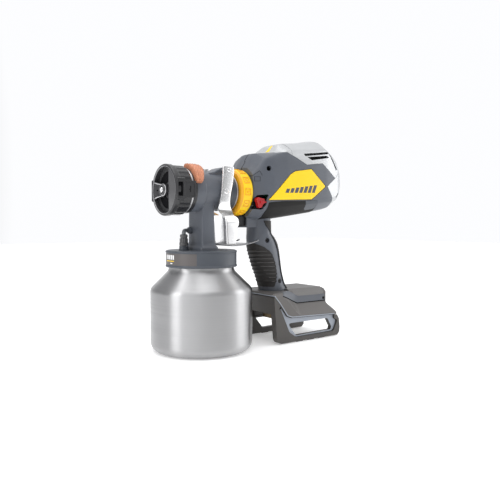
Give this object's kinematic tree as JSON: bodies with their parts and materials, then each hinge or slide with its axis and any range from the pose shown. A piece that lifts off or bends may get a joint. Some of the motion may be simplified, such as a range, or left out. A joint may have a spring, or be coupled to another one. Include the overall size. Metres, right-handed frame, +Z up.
{
  "type": "cordless turbine paint sprayer",
  "caption": "Hand-held cordless turbine paint sprayer with a bottom cup, a turning air cap, a trigger, a lock ring, a power dial and an empty battery foot.",
  "frame": {"origin": "centre of the cup's base, on the surface the sprayer stands on", "axes": "+Z up; the spray leaves towards -X and the battery foot is on the +X side; the left side of the housing, with the power dial, faces -Y"},
  "size_m": [0.277, 0.126, 0.271],
  "materials": {
    "brushed_cup": "turned and brushed aluminium",
    "lid_plastic": "fine matte texture",
    "slate_plastic": "satin moulded blue-grey plastic",
    "foot_plastic": "satin moulded warm grey plastic",
    "black_plastic": "satin black plastic",
    "seal_rubber": "smooth rubber",
    "grip_rubber": "soft overmoulded rubber",
    "steel": "turned steel",
    "trigger_chrome": "bright satin-plated trigger",
    "hose_plastic": "translucent soft tube",
    "copper_plastic": "copper coloured moulding",
    "yellow_plastic": "yellow moulding",
    "red_plastic": "red moulding",
    "silver_paint": "silver metallic paint on plastic",
    "winding_copper": "enamelled copper windings",
    "rotor_iron": "laminated iron",
    "filter_foam": "open cell foam",
    "board_green": "glass fibre board",
    "contact_brass": "bright contact blades"
  },
  "bodies": {
    "gun": {"container_lid": "lid_plastic", "lid_seal": "seal_rubber", "suction_tube": "steel", "suction_strainer": "black_plastic", "vent_valve": "lid_plastic", "vent_membrane": "seal_rubber", "vent_cap": "black_plastic", "vent_hose": "hose_plastic", "head_body": "slate_plastic", "nozzle_tip": "steel", "nozzle_gasket": "seal_rubber", "needle_packing": "seal_rubber", "trigger_pin": "steel", "coupling_sleeve": "lid_plastic", "coupling_oring": "seal_rubber", "air_outlet": "lid_plastic", "shell_left": "slate_plastic", "shell_right": "slate_plastic", "top_cover": "silver_paint", "rear_cap": "silver_paint", "label_left": "yellow_plastic", "label_right": "yellow_plastic", "belly_guard": "grip_rubber", "grip_pad": "grip_rubber", "grip_spine": "grip_rubber", "dial_potentiometer": "black_plastic", "switch_body": "black_plastic", "motor_can": "steel", "motor_stator": "winding_copper", "motor_bearings": "steel", "motor_mounts": "seal_rubber", "turbine_housing": "lid_plastic", "air_filter": "filter_foam", "control_board": "board_green", "foot_cover": "foot_plastic", "foot_guard": "foot_plastic", "foot_pads": "grip_rubber", "dock_rails": "foot_plastic", "dock_terminals": "contact_brass", "housing_screws": "steel", "foot_screws": "steel"},
    "paint_cup": {"cup": "brushed_cup"},
    "spray_cap": {"air_cap": "black_plastic"},
    "cap_nut": {"union_nut": "black_plastic"},
    "width_lever": {"width_ring": "copper_plastic"},
    "trigger_lever": {"trigger": "trigger_chrome"},
    "needle_group": {"needle": "steel", "needle_crosspin": "steel", "needle_spring": "steel"},
    "coupling_ring": {"lock_ring": "yellow_plastic"},
    "dial": {"power_dial": "red_plastic"},
    "plunger": {"switch_plunger": "black_plastic", "switch_spring": "steel"},
    "turbine_rotor": {"motor_rotor": "rotor_iron", "motor_shaft": "steel", "impeller": "black_plastic"}
  },
  "joints": [
    {"name": "cup_unscrew", "type": "hinge", "parent": "gun", "child": "paint_cup", "pos_m": [0, 0, 0.1], "axis": [0, 0, -1], "range_deg": [0, 270]},
    {"name": "air_cap_turn", "type": "hinge", "parent": "gun", "child": "spray_cap", "pos_m": [-0.045, 0, 0.196], "axis": [1, 0, 0], "range_deg": [0, 90]},
    {"name": "union_nut_turn", "type": "hinge", "parent": "gun", "child": "cap_nut", "pos_m": [-0.036, 0, 0.196], "axis": [1, 0, 0], "range_deg": [0, 120]},
    {"name": "width_lever_turn", "type": "hinge", "parent": "gun", "child": "width_lever", "pos_m": [-0.019, 0, 0.196], "axis": [1, 0, 0], "range_deg": [-35, 20]},
    {"name": "trigger_pull", "type": "hinge", "parent": "gun", "child": "trigger_lever", "pos_m": [0.023, 0, 0.2215], "axis": [0, -1, 0], "range_deg": [0, 8], "stiffness_Nm_per_rad": 3, "springref_deg": -6.88},
    {"name": "needle_slide", "type": "slide", "parent": "gun", "child": "needle_group", "axis": [1, 0, 0], "range_m": [0, 0.0036], "deforming": ["needle_spring"]},
    {"name": "lock_ring_turn", "type": "hinge", "parent": "gun", "child": "coupling_ring", "pos_m": [0.05, 0, 0.196], "axis": [1, 0, 0], "range_deg": [0, 45]},
    {"name": "power_dial_turn", "type": "hinge", "parent": "gun", "child": "dial", "pos_m": [0.0676, -0.03, 0.1835], "axis": [0, -1, 0], "range_deg": [-135, 135]},
    {"name": "switch_press", "type": "slide", "parent": "gun", "child": "plunger", "axis": [1, 0, 0], "range_m": [0, 0.0086], "deforming": ["switch_spring"]},
    {"name": "turbine_spin", "type": "hinge", "parent": "gun", "child": "turbine_rotor", "pos_m": [0.15, 0, 0.208], "axis": [1, 0, 0], "continuous": true}
  ],
  "couplings": [
    {"joint": "needle_slide", "follows": "trigger_pull", "m_per_rad": 0.0255},
    {"joint": "switch_press", "follows": "trigger_pull", "m_per_rad": 0.0612}
  ]
}
